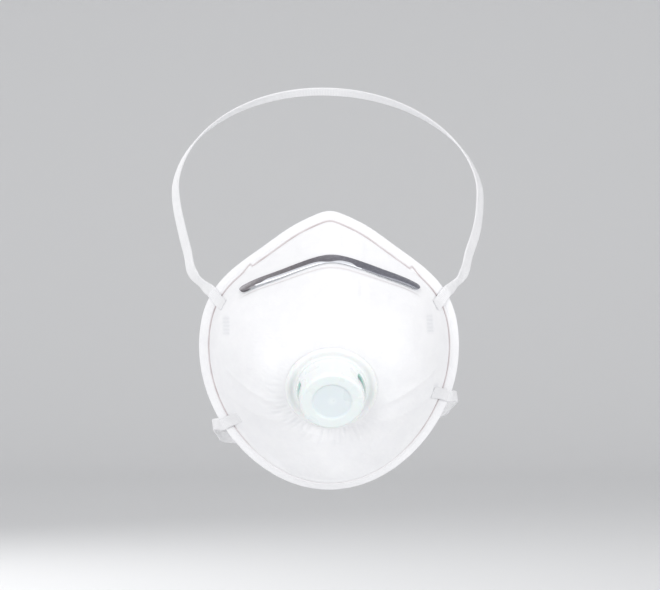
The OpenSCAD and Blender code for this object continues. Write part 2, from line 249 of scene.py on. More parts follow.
def edge_angle(z):
    return solve_rising(lambda a: float(hem_edge(np.array(a))[2]), z, -70.0, 70.0)


# ---------- Slow and fine relief of the web ----------
def waves(x, z, size, seed, count=7):
    """Sum of sine waves with a typical length of `size` millimetres, between about -1 and 1."""
    rng = np.random.default_rng(seed)
    total = 0
    for _ in range(count):
        turn, phase = rng.uniform(0, 2 * math.pi, 2)
        k = 2 * math.pi / (size * rng.uniform(0.75, 1.4))
        total = total + np.sin(k * (math.cos(turn) * x + math.sin(turn) * z) + phase)
    return total / math.sqrt(count) / 1.4


def from_segment(x, z, x0, z0, x1, z1):
    """Distance to a line in the front view, and the share of its length, with soft ends."""
    dx, dz = x1 - x0, z1 - z0
    length = math.hypot(dx, dz)
    t = ((x - x0) * dx + (z - z0) * dz) / length ** 2
    side = ((x - x0) * dz - (z - z0) * dx) / length
    ends = smooth(t, -0.12, 0.2) * (1 - smooth(t, 0.75, 1.12))
    return side, ends


# Folds in the front view: ends, width and height of each
FOLDS = [
    (4.6, 59, 4.9, 44.5, 0.75, 0.26), (6.6, 58, 8.4, 45, 2.2, -0.16),
    (16.4, 52, 14.6, 43, 1.3, 0.24), (18.5, 51, 33, 40.5, 1.1, 0.12),
    (21, 47, 36, 36.5, 1.6, -0.10), (-13.5, 53, -12.8, 43.5, 1.3, 0.15),
    (-17, 50, -16, 42, 1.5, -0.09), (-25, 44, -21, 39, 1.6, 0.10),
    (27, 42, 29, 37, 1.2, 0.10), (1.7, 33.5, 2.4, 25.5, 0.7, 0.17),
    (4.6, 32.5, 5.2, 27, 1.0, -0.12), (12.6, 31.5, 12.0, 21.5, 1.0, 0.18),
    (15.2, 30, 14.4, 22, 1.1, -0.12), (18.6, 29, 17.8, 20.5, 0.9, 0.13),
    (-20, 27.5, -19, 17.5, 1.3, 0.10), (-9.5, 31, -9.9, 24, 1.1, 0.09),
    (27, 25, 25.2, 16, 1.2, 0.10), (-31, 21, -29.5, 13, 1.4, 0.08), (34, 21, 31.5, 13, 1.4, 0.08),
]
# Ribbed weld marks: place in the front view, half width, half height, pitch of the ribs
WELD_MARKS = [(-49.3, 9.4, 1.9, 5.0, 1.75), (47.3, 10.6, 1.9, 5.0, 1.75),
              (-45.3, -35.0, 1.5, 3.0, 1.5), (50.2, -20.4, 1.5, 3.0, 1.5)]
# Jogs of the seam at the root of the hem: place in the front view, and which side is sharp
SEAM_JOGS = [(-37.9, 1.3), (39.4, -1.3)]


def calm(u, a, x):
    """Where the slow relief may act: not at the valve, the hem or the nose clip."""
    share = smooth(u, 0.02, 0.16) * (1 - smooth(u, 0.86, 0.97))
    clip = bell(np.maximum(np.abs(u - strip_u(a)) * NOSE_WALL - 3, 0), 3.2)
    return share * (1 - clip * (sind(a) > 0) * (1 - smooth(np.abs(x), 42, 50)))


def slow_relief(p, a, u):
    x, z = p[..., 0], p[..., 2]
    relief = 0.42 * waves(x, z, 27, 3) + 0.20 * waves(x, z, 13, 4)
    crease = -27.5 + 16 * (np.maximum(np.abs(x) - 20, 0) / 29) ** 1.6
    along = smooth(np.abs(x), 17, 25) * (1 - smooth(np.abs(x), 47, 54))
    step = z - crease
    relief += along * (0.30 * bell(step, 1.5) - 0.20 * bell(step + 3.2, 2.4))
    second = step + 9 + 0.12 * (np.abs(x) - 30)
    relief += along * 0.22 * bell(second, 1.7)
    return calm(u, a, x) * relief


def fine_relief(p, a, u, across):
    """Outward relief of the cover's face; the tint of its seams, with painted shade in the seam's
    groove and a painted shadow line under the nose clip; and its grey marks: painted shade in the
    crinkle troughs, and the weld marks, darker in their rib grooves as painted shade.
    across is the distance past the root of the hem, in millimetres."""
    x, z = p[..., 0], p[..., 2]
    free = calm(u, a, x)
    relief = np.zeros_like(x)
    for x0, z0, x1, z1, width, height in FOLDS:
        side, ends = from_segment(x, z, x0, z0, x1, z1)
        relief += height * ends * bell(side, width) * smooth(free, 0.0, 0.4)
    rng = np.random.default_rng(11)
    for _ in range(46):
        x0 = rng.uniform(-40, 40)
        z0 = rng.uniform(8, 56) - abs(x0) * 0.35
        tilt, length = rng.normal(x0 * 0.012, 0.15), rng.uniform(4, 9)
        side, ends = from_segment(x, z, x0, z0, x0 + tilt * length, z0 - length)
        relief += rng.uniform(-0.05, 0.07) * ends * bell(side, rng.uniform(0.5, 1.1)) * free
    lines = np.sin(2 * math.pi * (z / 2.1 + 0.35 * waves(x, z, 30, 8)))
    level = bell(z - 6, 7) * (1 - smooth(np.abs(x), 26, 46)) + 0.35 * bell(z + 8, 9)
    relief += 0.030 * lines * level * free
    # Radial crinkles round the valve, most of all below it
    q = p - VALVE_FOOT
    radius = np.hypot(dot(q, RIGHT), dot(q, VALVE_UP))
    angle = np.arctan2(dot(q, VALVE_UP), dot(q, RIGHT))
    crinkle = np.sin(58 * angle + 2.5 * np.sin(5 * angle) + 0.25 * radius)
    crinkle += 0.6 * np.sin(37 * angle - 1.5 * np.sin(3 * angle + 1) - 0.4 * radius)
    low_side = 0.12 + 0.88 * smooth(-np.sin(angle + 0.6), 0.0, 0.8)
    patchy = 0.55 + 0.45 * waves(x, z, 7, 19)
    crinkled = patchy * low_side * smooth(radius, 22.0, 23.2) * (1 - smooth(radius, 26, 35))
    relief += 0.11 * crinkle * crinkled
    relief += 0.05 * waves(x, z, 6, 9, 9) * free
    relief += 0.022 * waves(x, z, 2.4, 10, 12) * smooth(u, 0.02, 0.1)
    # Recess under the nose clip, and its lip
    below = (strip_u(a) - u) * NOSE_WALL - CLIP_WIDTH / 2
    beside = (sind(a) > 0) * (1 - smooth(np.abs(x), 38, 44))
    relief += beside * (-0.16 * bell(below - 0.55, 0.45) + 0.10 * bell(below - 1.5, 0.7))
    # Painted shadow: a grey line tinted into the recess just below the nose clip.
    tint = 0.4 * beside * bell(below - 0.55, 0.35)
    # Seam at the root of the hem, with its two jogs, and the ridge inside it
    jog = sum(1.4 * np.where(s * (x - x0) > 0, bell(x - x0, 0.8), bell(x - x0, 2.6)) * (z > 20)
              for x0, s in SEAM_JOGS)
    seam = across - jog
    relief += -0.20 * bell(seam, 0.30) + 0.10 * bell(seam + 1.7, 0.45)
    # The seam's grey-pink tint is partly the darker weld line and partly painted shade in its
    # groove. It is weaker under the chin.
    under_chin = smooth(-sind(a), 0.45, 0.80)
    tint = tint + bell(seam, 0.48) * (0.85 + 0.15 * waves(x, z, 9, 12)) * (1 - 0.72 * under_chin)
    relief += 0.10 * bell(seam - 0.75, 0.3)
    for place in (1.9, 2.9, 3.9):
        relief += -0.045 * bell(across - place, 0.17)
    relief += 0.05 * waves(x, z, 5, 14) * smooth(across, 0.5, 2)
    # Painted shade: grey tinted into the troughs of the crinkles.
    crease_shade_and_weld_mark = 0.55 * crinkled * np.clip(-crinkle, 0, 1)
    for x0, z0, w, h, pitch in WELD_MARKS:
        box = 1 - smooth(np.abs(x - x0), w - 0.9, w + 0.4)
        box = box * (1 - smooth(np.abs(z - z0), h - 1.6, h + 0.5))
        ribs = 0.5 + 0.5 * np.cos(2 * math.pi * (z - z0) / pitch)
        relief += -0.16 * box * ribs - 0.05 * box
        # Weld mark: a grey imprint, darker in the rib grooves as painted shade.
        crease_shade_and_weld_mark = crease_shade_and_weld_mark + box * (0.45 + 0.4 * ribs)
    return relief, np.clip(tint, 0, 1), np.clip(crease_shade_and_weld_mark, 0, 1)


# ---------- Mesh helpers ----------
def new_object(name, points, faces, flat=False):
    """Closed mesh from points in millimetres, with its normals turned outwards."""
    mesh = bpy.data.meshes.new(name)
    mesh.from_pydata((np.asarray(points) * MM).tolist(), [], [list(f) for f in faces])
    bm = bmesh.new()
    bm.from_mesh(mesh)
    bmesh.ops.recalc_face_normals(bm, faces=bm.faces)
    bm.to_mesh(mesh)
    bm.free()
    mesh.polygons.foreach_set("use_smooth", [not flat] * len(mesh.polygons))
    obj = bpy.data.objects.new(name, mesh)
    bpy.context.scene.collection.objects.link(obj)
    return obj


def set_values(obj, name, values):
    attribute = obj.data.attributes.new(name, "FLOAT", "POINT")
    attribute.data.foreach_set("value", np.asarray(values, np.float32).ravel())


def grid_faces(rows, cols, wrap_rows=False, wrap_cols=True):
    i = np.arange(rows if wrap_rows else rows - 1)[:, None]
    j = np.arange(cols if wrap_cols else cols - 1)[None, :]
    i1, j1 = (i + 1) % rows, (j + 1) % cols
    corners = (i * cols + j, i * cols + j1, i1 * cols + j1, i1 * cols + j)
    return np.stack(np.broadcast_arrays(*corners), -1).reshape(-1, 4).tolist()


def tube(name, rings):
    """Closed tube from rings of points, capped at both ends."""
    rings = np.asarray(rings)
    n, m = rings.shape[:2]
    faces = grid_faces(n, m)
    faces += [list(range(m)), [(n - 1) * m + j for j in range(m)][::-1]]
    return new_object(name, rings.reshape(-1, 3), faces)


# ---------- Plies ----------
# Rings of the flat land under the valve, from the port outwards
LAND_RADII = np.array([PORT_R, 16.5, 19, 20.6, 21.4])


def ply_side(a, wall_u, hem_t):
    """Skin points, normals, u, distance past the hem's root, and how far the ply is pressed."""
    points, normals, us, across, press = [], [], [], [], []
    one = np.ones_like(a)
    for r in LAND_RADII:
        points.append(VALVE_FOOT + r * across_valve(a))
        normals.append(VALVE_AXIS + 0 * points[-1])
        us.append(0 * one)
        across.append(-60 * one)
        press.append(1.0)
    h = hem_angle(a)
    root = skin(a, 1.0 * one)
    for u in wall_u:
        p = skin(a, u * one)
        n = skin_normal(a, u * one)
        if u == 1:
            w = hem_normal(h)
            n = (n + w) / (1 + dot(n, w))[..., None]
        points.append(p)
        normals.append(n)
        us.append(u * one)
        across.append(-np.linalg.norm(root - p, axis=-1))
        press.append(float(pressed(u)))
    for t in hem_t:
        points.append(hem_root(h) + t * HEM_WIDTH * hem_slope(h))
        normals.append(hem_normal(h))
        us.append((1 + 0.09 * t) * one)
        across.append(t * HEM_WIDTH * one)
        press.append(HEM_PRESS)
    return (np.array(points), np.array(normals), np.array(us), np.array(across),
            np.array(press)[:, None, None])


def ply(name, node, depth, thickness, around, fine, fine_outside=None):
    """A ply as one closed sheet. fine_outside says which face carries the fine relief, and fine
    is the step of u on that face."""
    a = np.arange(around) * 360.0 / around
    fine_u = np.concatenate([np.arange(0, 0.93, fine), np.arange(0.93, 1.0 + 1e-9, 0.0035)])
    fine_u[-1] = 1.0
    fine_t = np.concatenate([np.arange(0.03, 0.3, 0.03), np.linspace(0.3, 1, 15)])
    coarse_u = np.concatenate([np.linspace(0, 0.93, 34), np.linspace(0.945, 1, 5)])
    coarse_t = np.linspace(0.2, 1, 5)
    sheets = []
    tints, crease_shade_and_weld_marks = [], []
    for outside in (True, False):
        detailed = fine_outside is not None and outside == fine_outside
        u_rows, t_rows = (fine_u, fine_t) if detailed else (coarse_u, coarse_t)
        p, n, u, across, press = ply_side(a, u_rows, t_rows)
        aa = np.broadcast_to(a, u.shape)
        relief = slow_relief(p, aa, u)
        tint = crease_shade_and_weld_mark = 0 * relief
        if detailed and outside:
            extra, tint, crease_shade_and_weld_mark = fine_relief(p, aa, u, across)
            relief = relief + extra
        elif detailed:
            x, z = p[..., 0], p[..., 2]
            web_relief = 0.05 * waves(x, z, 7, 21, 9) + 0.02 * waves(x, z, 2.6, 22, 9)
            relief = relief + calm(u, aa, x) * web_relief
            relief += 0.06 * bell(across + 0.4, 0.5)
            tint = 0.5 * bell(across + 0.2, 0.35)
        d = depth if outside else depth + thickness
        q = p - d * press * n + relief[..., None] * n
        sheets.append(q if outside else q[::-1])
        tints.append(tint if outside else tint[::-1])
        crease_shade_and_weld_marks.append(crease_shade_and_weld_mark if outside else crease_shade_and_weld_mark[::-1])
    grid = np.concatenate(sheets)
    rows = len(grid)
    obj = new_object(name, grid.reshape(-1, 3), grid_faces(rows, around, wrap_rows=True))
    set_values(obj, "tint", np.concatenate(tints))
    set_values(obj, "crease_shade_and_weld_mark", np.concatenate(crease_shade_and_weld_marks))
    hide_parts(node)
    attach(obj, "cup")
    return obj


cover = ply("mask_cover", "outer_cover", 0, COVER_T,
            840, 0.0065, True)
filter_ply = ply("mask_filter", "filter_web", FILTER_DEPTH, FILTER_T, 300, 0.02)
shell_ply = ply("mask_shell", "support_shell", SHELL_DEPTH, SHELL_T, 300, 0.02)
lining = ply("mask_lining", "inner_lining", LINING_DEPTH, LINING_T,
             640, 0.012, False)


# ---------- Strips that follow the wall: nose clip, tape and foam ----------
TIP = 0.02  # half width of a strip's very end, as a share of its width
CLIP_FOOT, CLIP_CORNER, CLIP_TOP_POINTS = 0.40, 0.16, 25


def strip_scale(a):
    """Millimetres per unit of u, across the strip's middle."""
    step = skin(a, strip_u(a) + 0.01) - skin(a, strip_u(a) - 0.01)
    return np.linalg.norm(step, axis=-1) / 0.02


def wall_strip(name, span, width, section, steps, widen=0.0, stand=0.0):
    """section is the places s from -1 to 1 across the strip and their heights over the skin.
    The strip's ends are round. Near them it widens and its lower edge stands further off."""
    first, last = strip_angle(span / 2), strip_angle(-span / 2)
    t = 0.5 - 0.5 * np.cos(np.pi * np.arange(steps + 1) / steps)
    a = first + (last - first) * t
    inset = np.maximum(0, width / 2 - span * np.minimum(t, 1 - t)) / (width / 2)
    half = np.maximum(TIP * width, width / 2 * np.maximum(0, 1 - inset ** 2.6) ** (1 / 2.6))
    outer = smooth(np.abs(t - 0.5) * 2, 0.35, 0.9)
    half = half * (1 + widen * outer)
    s, heights = section
    u = strip_u(a)[:, None] + half[:, None] * s[None, :] / strip_scale(a)[:, None]
    thin = (half / (width / 2))[:, None] ** 0.35
    heights = heights[None, :] * np.ones_like(u)
    middle = (heights.max() + heights.min()) / 2
    heights = middle + (heights - middle) * np.clip(thin, 0.35, 1)
    heights = heights + stand * outer[:, None] * (1 - s) / 2 * (heights > middle)
    rings = over_skin(a[:, None], u, heights)
    return tube(name, rings), rings


def rounded_section(low, high, dome, corner, count):
    """Places across and heights of a strip's section, with rounded corners."""
    s = np.concatenate([np.linspace(-1, 1, count), np.linspace(1, -1, count // 2)])
    top = np.arange(len(s)) < count
    edge = 1 - np.abs(s)
    body = high - low
    lift = np.sqrt(np.clip(1 - (1 - np.clip(edge / corner, 0, 1)) ** 2, 0, 1))
    h_top = low + body * (0.35 + 0.65 * lift) * (1 - dome * s ** 2)
    h_low = low + body * 0.30 * (1 - lift)
    return s, np.where(top, h_top, h_low)


clip_section = rounded_section(CLIP_FOOT, CLIP_FOOT + CLIP_T, 0.30, CLIP_CORNER, CLIP_TOP_POINTS)
clip, clip_rings = wall_strip("clip_strip", CLIP_SPAN, CLIP_WIDTH, clip_section, 260, 0.20, 0.9)
# How far up the strip its bright lower band reaches, along its length. The band is the lighter
# bare metal of the polished lower edge, with a painted highlight in how its reach changes along
# the strip and fades towards both ends.
# The rounded edge counts as the places from -0.84 down to -1.9, and the underside as -2.
clip_x = clip_rings[..., 0]
clip_s = clip_section[0]
place = clip_s - 0.9 * np.sqrt(1 - np.clip((1 + clip_s) / CLIP_CORNER, 0, 1)) * (clip_s < 0)
place = np.where((np.arange(len(clip_s)) >= CLIP_TOP_POINTS) & (clip_s < 0), -2.0, place)
polished_edge_and_highlight_reach = (-0.36 - 0.50 * bell(clip_x + 0.8, 4.0) - 1.5 * smooth(clip_x, 9, 17)
          - 1.6 * smooth(-clip_x, 29, 39))
set_values(clip, "polished_edge_and_highlight", smooth(polished_edge_and_highlight_reach - place[None, :], -0.05, 0.10))
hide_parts("nose_clip")
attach(clip, "cup")

tape_section = rounded_section(0.14, 0.36, 0.0, 0.05, 9)
tape, _ = wall_strip("clip_adhesive", CLIP_SPAN - 2, CLIP_WIDTH - 1, tape_section, 120)
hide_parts("nose_clip_tape")
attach(tape, "cup")


def foam_pad():
    """Soft strip inside the nose. Its far face is crowned and its cells show as fine dents."""
    span, steps, gap = FOAM_SPAN, 300, 0.12
    first, last = strip_angle(span / 2), strip_angle(-span / 2)
    t = np.linspace(0, 1, steps + 1)
    a = first + (last - first) * t
    ends = np.clip(np.minimum(t, 1 - t) * span / 2.2, 0, 1)
    ends = np.sqrt(1 - (1 - ends) ** 2)
    turn = np.linspace(0, 2 * np.pi, 64, endpoint=False)
    s = np.sign(np.cos(turn)) * np.abs(np.cos(turn)) ** 0.42
    d = np.sign(np.sin(turn)) * np.abs(np.sin(turn)) ** 0.42
    half = FOAM_WIDTH / 2 * (0.90 + 0.10 * ends)
    u = strip_u(a)[:, None] + half[:, None] * s[None, :] / strip_scale(a)[:, None]
    mid = STACK_T + gap + FOAM_T / 2
    thick = FOAM_T / 2 * (0.55 + 0.45 * ends)[:, None] * d[None, :]
    far = d[None, :] > 0
    thick = np.where(far, thick * (1 - 0.10 * s[None, :] ** 2), thick)
    x = np.cumsum(np.full(steps + 1, span / steps))[:, None] + 0 * u
    round_pad = turn[None, :] * 5
    cells = 0.10 * waves(x, round_pad, 1.9, 31, 14) + 0.12 * waves(x, round_pad, 9, 32)
    thick = np.where(far, thick + 0.6 * cells, thick)
    scale = np.clip(pressed(u), 0.75, 1)
    p, n = skin(a[:, None], u), skin_normal(a[:, None], np.clip(u, 0, 1))
    rings = p - ((mid + 0.25) * scale + thick)[..., None] * n
    return tube("nose_pad", rings)


pad = foam_pad()
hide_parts("nose_foam")
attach(pad, "cup")


# ---------- Exhalation valve ----------
ON_AXIS = 1e-9


def rounded_outline(points, radius, steps=4):
    """Closed outline of (r, z) with rounded corners. A corner on the axis, at r = 0, stays."""
    points = [np.array(p, float) for p in points]
    out = []
    n = len(points)
    for i, p in enumerate(points):
        before, after = points[i - 1], points[(i + 1) % n]
        if p[0] < ON_AXIS:
            out.append(p)
            continue
        e0, e1 = before - p, after - p
        l0, l1 = np.linalg.norm(e0), np.linalg.norm(e1)
        cut = min(radius, 0.42 * l0, 0.42 * l1)
        s, e = p + e0 / l0 * cut, p + e1 / l1 * cut
        for k in range(steps + 1):
            t = k / steps
            out.append((1 - t) ** 2 * s + 2 * t * (1 - t) * p + t * t * e)
    return np.array(out)


def on_valve(x, y, z):
    """Place in the valve's frame: z is the height over the skin, along its axis."""
    return (VALVE_FOOT + np.asarray(x)[..., None] * RIGHT + np.asarray(y)[..., None] * VALVE_UP
            + np.asarray(z)[..., None] * VALVE_AXIS)


def lathe(name, outline, segments=180):
    """Closed turned piece on the valve's axis. An outline that meets the axis has poles there."""
    outline = np.asarray(outline, float)
    poles = outline[outline[:, 0] < ON_AXIS]
    turn = np.arange(segments) * 2 * np.pi / segments
    ring = outline[outline[:, 0] >= ON_AXIS]
    r, z = ring[:, :1], ring[:, 1:]
    points = on_valve(r * np.cos(turn), r * np.sin(turn), z + 0 * turn).reshape(-1, 3)
    if len(poles) == 0:
        return new_object(name, points, grid_faces(len(ring), segments, wrap_rows=True))
    # The outline starts and ends on the axis, so the first and last rings each close on a pole
    points = np.concatenate([points, on_valve(np.zeros(2), np.zeros(2), poles[:2, 1])])
    count = len(ring) * segments
    faces = grid_faces(len(ring), segments)
    last = (len(ring) - 1) * segments
    for j in range(segments):
        k = (j + 1) % segments
        faces.append([count, j, k])
        faces.append([count + 1, last + k, last + j])
    return new_object(name, points, faces)


def boolean(obj, tools, operation):
    """Applies a boolean with each tool and removes the tools."""
    for tool in tools:
        mod = obj.modifiers.new("cut", "BOOLEAN")
        mod.operation, mod.solver, mod.object = operation, "EXACT", tool
        graph = bpy.context.evaluated_depsgraph_get()
        mesh = bpy.data.meshes.new_from_object(obj.evaluated_get(graph))
        obj.modifiers.remove(mod)
        old, obj.data = obj.data, mesh
        bpy.data.meshes.remove(old)
        bpy.data.objects.remove(tool)
    return obj


def block(name, corners, bevel=0.0):
    """Box in the valve's frame: two opposite corners, and its turn about the axis in degrees."""
    (x0, y0, z0), (x1, y1, z1), turn = corners
    pts = np.array([(x, y, z) for z in (z0, z1) for y in (y0, y1) for x in (x0, x1)], float)
    c, s = cosd(turn), sind(turn)
    x, y = pts[:, 0] * c - pts[:, 1] * s, pts[:, 0] * s + pts[:, 1] * c
    faces = [(0, 1, 3, 2), (4, 6, 7, 5), (0, 4, 5, 1), (2, 3, 7, 6), (0, 2, 6, 4), (1, 5, 7, 3)]
    obj = new_object(name, on_valve(x, y, pts[:, 2]), faces, flat=True)
    if bevel:
        bm = bmesh.new()
        bm.from_mesh(obj.data)
        bmesh.ops.bevel(bm, geom=bm.edges[:], offset=bevel * MM, segments=3, profile=0.5,
                        affect="EDGES")
        bm.to_mesh(obj.data)
        bm.free()
    return obj


DIAPHRAGM_LOW, DIAPHRAGM_T, VENT_TURN = 2.3, 0.5, 9
CAP_R, SHOULDER_R, WINDOW_R, CAP_H, WINDOW_H, CAP_WALL = 16.4, 15.0, 9.5, 13.0, 12.3, 1.1

seat_outline = rounded_outline([
    (12.2, -6.35), (13.4, -6.35), (13.4, 0.05), (21.5, 0.05), (21.5, 0.75), (20.9, 1.55),
    (20.1, 1.7), (19.2, 1.55), (18.1, 1.0), (17.2, 0.95), (16.9, 1.2), (14.8, 1.2), (14.8, 2.8),
    (13.7, 2.8), (13.7, 1.2), (11.4, 1.2), (11.2, 2.2), (10.8, 2.2), (10.4, 1.2), (10.4, -0.6),
    (12.2, -0.6)], 0.35)
seat = lathe("valve_base", seat_outline)
spokes = [block("spoke", ((0, -0.6, -0.6), (10.9, 0.6, 1.2), 60 * i), 0.18) for i in range(6)]
hub = lathe("hub", rounded_outline([(0, 1.9), (2.6, 1.9), (2.6, -0.6), (0, -0.6)], 0.3), 72)
pin = lathe("pin", rounded_outline([
    (0, 5.1), (1.8, 5.1), (1.8, 4.3), (1.0, 4.3), (1.0, 0.2), (0, 0.2)], 0.25), 72)
boolean(seat, spokes + [hub, pin], "UNION")
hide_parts("valve_seat")
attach(seat, "cup")

cap_outline = rounded_outline([
    (0, WINDOW_H), (WINDOW_R - 0.9, WINDOW_H), (WINDOW_R - 0.1, CAP_H - 0.05),
    (WINDOW_R + 0.8, CAP_H), (SHOULDER_R - 1.3, CAP_H), (SHOULDER_R - 0.2, CAP_H - 0.9),
    (SHOULDER_R, CAP_H - 2.2),
    (15.5, 6.5), (15.95, 3.2), (CAP_R, 1.6), (CAP_R, 1.25),
    (CAP_R - CAP_WALL, 1.25), (14.9, 3.4), (SHOULDER_R - CAP_WALL, CAP_H - 2.2),
    (SHOULDER_R - CAP_WALL - 0.9, CAP_H - CAP_WALL), (WINDOW_R + 1, CAP_H - CAP_WALL),
    (WINDOW_R + 0.6, WINDOW_H - CAP_WALL), (0, WINDOW_H - CAP_WALL)], 0.5, 5)
cap = lathe("valve_cap", cap_outline)
vents = [block("vent", ((CAP_R - 4, -8, 3.4), (CAP_R + 4, 8, 7.4), turn), 0.7)
         for turn in (VENT_TURN, VENT_TURN + 180)]
boolean(cap, vents, "DIFFERENCE")
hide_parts("valve_cover")
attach(cap, "cup")

flap = lathe("valve_flap", rounded_outline([
    (1.3, DIAPHRAGM_LOW), (4, DIAPHRAGM_LOW + 0.02), (10.6, DIAPHRAGM_LOW),
    (12.1, DIAPHRAGM_LOW + 0.03), (12.1, DIAPHRAGM_LOW + 0.42),
    (10.6, DIAPHRAGM_LOW + DIAPHRAGM_T), (4, DIAPHRAGM_LOW + 0.46),
    (1.9, DIAPHRAGM_LOW + DIAPHRAGM_T), (1.3, DIAPHRAGM_LOW + DIAPHRAGM_T)], 0.15, 3))
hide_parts("valve_diaphragm")
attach(flap, "diaphragm")

ring = lathe("valve_ring", rounded_outline([
    (13.5, -3.4), (19.0, -3.4), (19.0, -4.3), (18.4, -4.95), (17.2, -5.05), (16.9, -4.85),
    (15.6, -4.85), (15.3, -5.05), (13.5, -5.05)], 0.3))
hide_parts("valve_retainer_ring")
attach(ring, "cup")


# ---------- Head straps ----------
def through(points, step):
    """Smooth curve through the points, sampled every `step` millimetres, and the length so far.
    A point's first three values are its place."""
    points = np.asarray(points, float)
    n = len(points)
    chord = np.linalg.norm(np.diff(points[:, :3], axis=0), axis=1) ** 0.75
    k = np.concatenate([[0], np.cumsum(chord)])
    h = np.diff(k)
    m = np.zeros((n, n))
    rhs = np.zeros((n, points.shape[1]))
    m[0, 0] = m[-1, -1] = 1
    for i in range(1, n - 1):
        m[i, i - 1], m[i, i], m[i, i + 1] = h[i - 1], 2 * (h[i - 1] + h[i]), h[i]
        rhs[i] = 6 * ((points[i + 1] - points[i]) / h[i] - (points[i] - points[i - 1]) / h[i - 1])
    bend = np.linalg.solve(m, rhs)

    def at(q):
        i = np.clip(np.searchsorted(k, q, side="right") - 1, 0, n - 2)
        a, b, w = (k[i + 1] - q)[:, None], (q - k[i])[:, None], h[i][:, None]
        return (bend[i] * a ** 3 / (6 * w) + bend[i + 1] * b ** 3 / (6 * w)
                + (points[i] / w - bend[i] * w / 6) * a
                + (points[i + 1] / w - bend[i + 1] * w / 6) * b)

    every = np.linspace(0, k[-1], 6000)
    legs = np.linalg.norm(np.diff(at(every)[:, :3], axis=0), axis=1)
    length = np.concatenate([[0], np.cumsum(legs)])
    along = np.linspace(0, length[-1], int(length[-1] / step))
    return at(np.interp(along, length, every)), along


def ribbed_section(count=15, ribs=4):
    """Section of the elastic: places across and heights, both as shares of half its size."""
    s = np.linspace(-1, 1, count * 2)
    rib = 0.80 + 0.20 * np.cos(np.pi * (ribs * (s + 1))) ** 2
    edge = np.sqrt(np.clip(1 - np.clip((np.abs(s) - 0.86) / 0.14, 0, 1) ** 2, 0.0, 1))
    h = rib * (0.25 + 0.75 * edge)
    return np.concatenate([s, s[::-1]]), np.concatenate([h, -h[::-1]])


def strap(name, path, faces, nodes, loop_body, start, end):
    """One continuous band through the path, whose face looks along `faces`."""
    data, along = through(np.concatenate([path, faces], 1), 1.1)
    centre, face = data[:, :3], unit(data[:, 3:])
    tangent = unit(np.gradient(centre, axis=0))
    face = unit(face - dot(face, tangent)[:, None] * tangent)
    wide = unit(np.cross(tangent, face))
    s, h = ribbed_section()
    wave = 1 + 0.006 * waves(along, 0 * along, 17, 41)
    ease_ends = np.clip(np.minimum(along, along[-1] - along) / 1.2, 0, 1)
    from_end = np.minimum(along, along[-1] - along)
    press = 0.40 + 0.60 * smooth(from_end, 2.0, 8.0)
    thick = STRAP_T / 2 * press * (0.6 + 0.4 * ease_ends)
    width = STRAP_WIDTH / 2 * wave * (1.06 - 0.06 * smooth(from_end, 3.0, 9.0))
    width = width * (0.80 + 0.20 * np.sqrt(1 - (1 - ease_ends) ** 2))
    sink = (STRAP_T / 2 * (1 - press))[:, None] * face
    centre = centre - sink
    rings = (centre[:, None] + (width[:, None] * s[None, :])[..., None] * wide[:, None]
             + (thick[:, None] * h[None, :])[..., None] * face[:, None])
    obj = tube(name, rings)
    set_values(obj, "along", np.broadcast_to(along[:, None], rings.shape[:2]))
    set_values(obj, "across", np.broadcast_to(s[None, :] * STRAP_WIDTH / 2, rings.shape[:2]))
    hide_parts(*nodes)
    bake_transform(obj)
    return obj


def loop_side(half_span, half_width, depth, flare, t):
    """Point (x, y) on the +X half of a loop in its plane, from the weld (0) to the back (1)."""
    bend = depth * 0.47
    if t < 0.5:
        q, m = 2 * t, 1 - 2 * t
        p = np.array([[half_span, 0], [half_span + flare, bend * 0.16],
                      [half_width - flare / 3, bend * 0.55], [half_width, bend]])
        return m ** 3 * p[0] + 3 * m * m * q * p[1] + 3 * m * q * q * p[2] + q ** 3 * p[3]
    return np.array([half_width * sind(180 * t), bend - (depth - bend) * cosd(180 * t)])


def loop_path(half_span, half_width, depth, flare, rise, middle, roll, start_t, twist=0.0,
              count=26):
    """Centres and face directions of a loop, from its +X side round to its -X side. The band's
    face is twisted so many degrees upwards beside the head, and less behind it."""
    centres, faces = [], []
    plane = np.array([0, -sind(rise), cosd(rise)])
    ts = start_t + (1 - start_t) * np.linspace(0, 1, count)
    ts = np.concatenate([ts, 2 - ts[-2::-1]])

    def point(t):
        side = -1 if t > 1 else 1
        p = loop_side(half_span, half_width, depth, flare, 2 - t if t > 1 else t)
        return np.array([side * p[0], p[1], p[1] * math.tan(math.radians(rise))])

    def placed(v):
        return np.array([v[0] * cosd(roll) - v[2] * sind(roll), v[1],
                         v[0] * sind(roll) + v[2] * cosd(roll)])

    for t in ts:
        tangent = unit(point(min(t + 0.01, 2)) - point(max(t - 0.01, 0)))
        away = min(t, 2 - t)
        turn = twist * smooth(away, 0.05, 0.13) * (1 - 0.6 * smooth(away, 0.6, 1))
        centres.append(placed(point(t)) + middle)
        faces.append(placed(cosd(turn) * unit(np.cross(tangent, plane)) + sind(turn) * plane))
    return np.array(centres), np.array(faces)


def weld_points(z, turn, from_u, lift, mid_u=0.93):
    """Centres and faces of a welded end on the +X side: two on the wall, one on the hem."""
    h = edge_angle(z)
    a = h + WALL_LAG * float(cosd(h)) + turn
    m = float(hem_angle(a)) * 0.4 + h * 0.6
    out = []
    for u in (from_u, mid_u):
        n = skin_normal(a, u)
        out.append((skin(a, u) + lift * n, n))
    m = np.array(m)
    n = hem_normal(m)
    out.append(((hem_root(m) + hem_edge(m)) / 2 + lift * n, n))
    return np.array(h), out


def mirrored(v):
    return np.array([-v[0], v[1], v[2]])


LIFT = STRAP_T / 2 + 0.06
